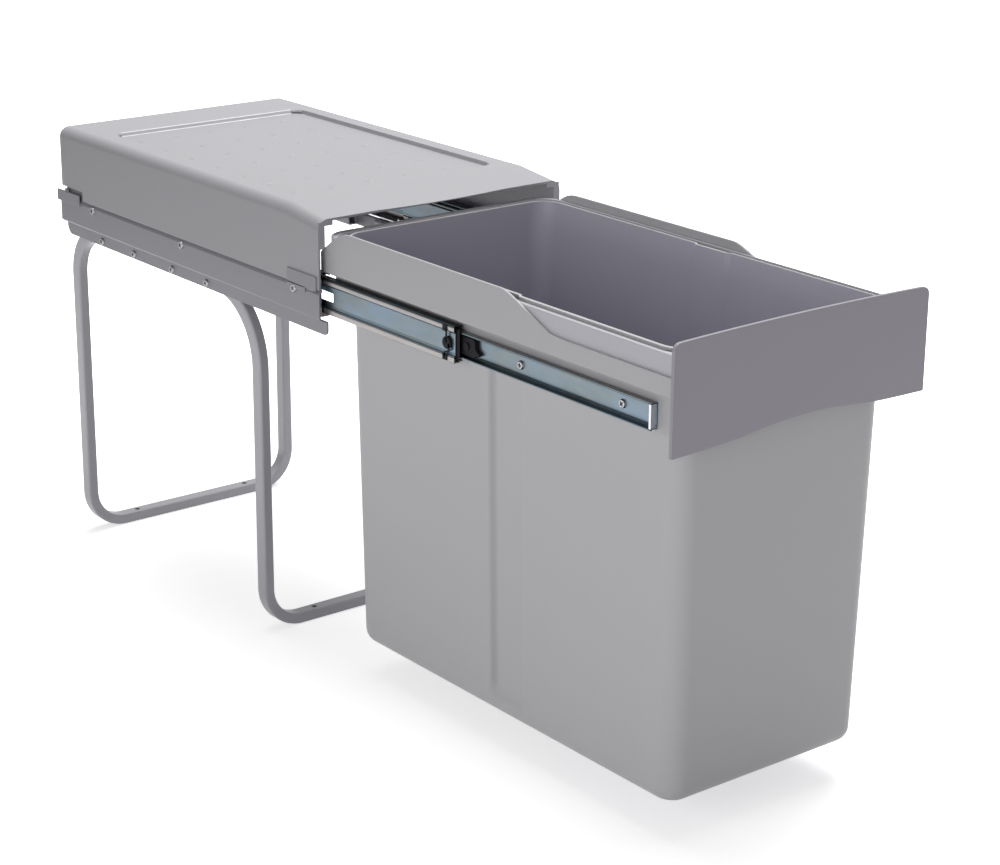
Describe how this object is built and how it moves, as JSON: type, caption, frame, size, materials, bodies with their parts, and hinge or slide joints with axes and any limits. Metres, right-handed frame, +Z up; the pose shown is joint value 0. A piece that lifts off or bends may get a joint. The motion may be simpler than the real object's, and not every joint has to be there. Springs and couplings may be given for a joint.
{
  "type": "waste sorting bin",
  "caption": "Pull-out waste bin for a base cabinet: a lidded frame on hoop legs with ball-bearing slides that carry a lift-out tub behind a low front panel.",
  "frame": {"origin": "on the floor, at the centre of the four floor screw holes in the two hoops", "axes": "+Z up, -Y the way the bin pulls out, +X to the right seen from the front"},
  "size_m": [0.2622, 0.878, 0.4095],
  "materials": {
    "cover_plastic": "fine satin grain",
    "rail_paint": "satin powder coat",
    "tube_paint": "satin powder coat",
    "plate_paint": "satin powder coat",
    "panel_paint": "satin powder coat",
    "ring_plastic": "satin",
    "bin_plastic": "satin",
    "zinc_steel": "bright zinc plate",
    "cage_steel": "plain",
    "ball_steel": "polished",
    "screw_steel": "bright",
    "black_plastic": "moulded"
  },
  "bodies": {
    "base": {"lid_cover": "cover_plastic", "rail_screws": "screw_steel", "leg_screws": "screw_steel", "rear_leg_hoop": "tube_paint", "front_leg_hoop": "tube_paint", "left_side_rail": "rail_paint", "right_side_rail": "rail_paint", "left_outer_slide": "zinc_steel", "right_outer_slide": "zinc_steel"},
    "carrier": {"front_panel": "panel_paint", "support_ring": "ring_plastic", "slide_screws": "screw_steel", "panel_screws": "screw_steel", "left_carrier_plate": "plate_paint", "right_carrier_plate": "plate_paint", "left_inner_slide": "zinc_steel", "right_inner_slide": "zinc_steel", "left_lever_pin": "zinc_steel", "right_lever_pin": "zinc_steel"},
    "bin": {"waste_bin": "bin_plastic"},
    "left_middle": {"left_middle_slide": "zinc_steel", "left_end_bumper": "black_plastic"},
    "left_outer_cage_row": {"left_outer_cage": "cage_steel", "left_outer_balls": "ball_steel"},
    "left_inner_cage_row": {"left_inner_cage": "black_plastic", "left_inner_balls": "ball_steel"},
    "left_lever": {"left_release_lever": "black_plastic"},
    "right_middle": {"right_middle_slide": "zinc_steel", "right_end_bumper": "black_plastic"},
    "right_outer_cage_row": {"right_outer_cage": "cage_steel", "right_outer_balls": "ball_steel"},
    "right_inner_cage_row": {"right_inner_cage": "black_plastic", "right_inner_balls": "ball_steel"},
    "right_lever": {"right_release_lever": "black_plastic"}
  },
  "joints": [
    {"name": "carrier_slide", "type": "slide", "parent": "base", "child": "carrier", "axis": [0, 1, 0], "range_m": [0, 0.426]},
    {"name": "bin_lift", "type": "slide", "parent": "carrier", "child": "bin", "axis": [0, 0, 1], "range_m": [0, 0.38]},
    {"name": "left_middle_slide", "type": "slide", "parent": "base", "child": "left_middle", "axis": [0, 1, 0], "range_m": [0, 0.179]},
    {"name": "left_outer_cage_row_slide", "type": "slide", "parent": "base", "child": "left_outer_cage_row", "axis": [0, 1, 0], "range_m": [0, 0.0895]},
    {"name": "left_inner_cage_row_slide", "type": "slide", "parent": "base", "child": "left_inner_cage_row", "axis": [0, 1, 0], "range_m": [0, 0.3025]},
    {"name": "left_lever_pivot", "type": "hinge", "parent": "carrier", "child": "left_lever", "pos_m": [-0.1143, -0.457, 0.339], "axis": [1, 0, 0], "range_deg": [-6, 6], "stiffness_Nm_per_rad": 0.02},
    {"name": "right_middle_slide", "type": "slide", "parent": "base", "child": "right_middle", "axis": [0, 1, 0], "range_m": [0, 0.179]},
    {"name": "right_outer_cage_row_slide", "type": "slide", "parent": "base", "child": "right_outer_cage_row", "axis": [0, 1, 0], "range_m": [0, 0.0895]},
    {"name": "right_inner_cage_row_slide", "type": "slide", "parent": "base", "child": "right_inner_cage_row", "axis": [0, 1, 0], "range_m": [0, 0.3025]},
    {"name": "right_lever_pivot", "type": "hinge", "parent": "carrier", "child": "right_lever", "pos_m": [0.1143, -0.457, 0.339], "axis": [1, 0, 0], "range_deg": [-6, 6], "stiffness_Nm_per_rad": 0.02}
  ],
  "couplings": [
    {"joint": "left_middle_slide", "follows": "carrier_slide", "ratio": 0.42018},
    {"joint": "left_outer_cage_row_slide", "follows": "carrier_slide", "ratio": 0.21009},
    {"joint": "left_inner_cage_row_slide", "follows": "carrier_slide", "ratio": 0.71009},
    {"joint": "right_middle_slide", "follows": "carrier_slide", "ratio": 0.42018},
    {"joint": "right_outer_cage_row_slide", "follows": "carrier_slide", "ratio": 0.21009},
    {"joint": "right_inner_cage_row_slide", "follows": "carrier_slide", "ratio": 0.71009}
  ]
}
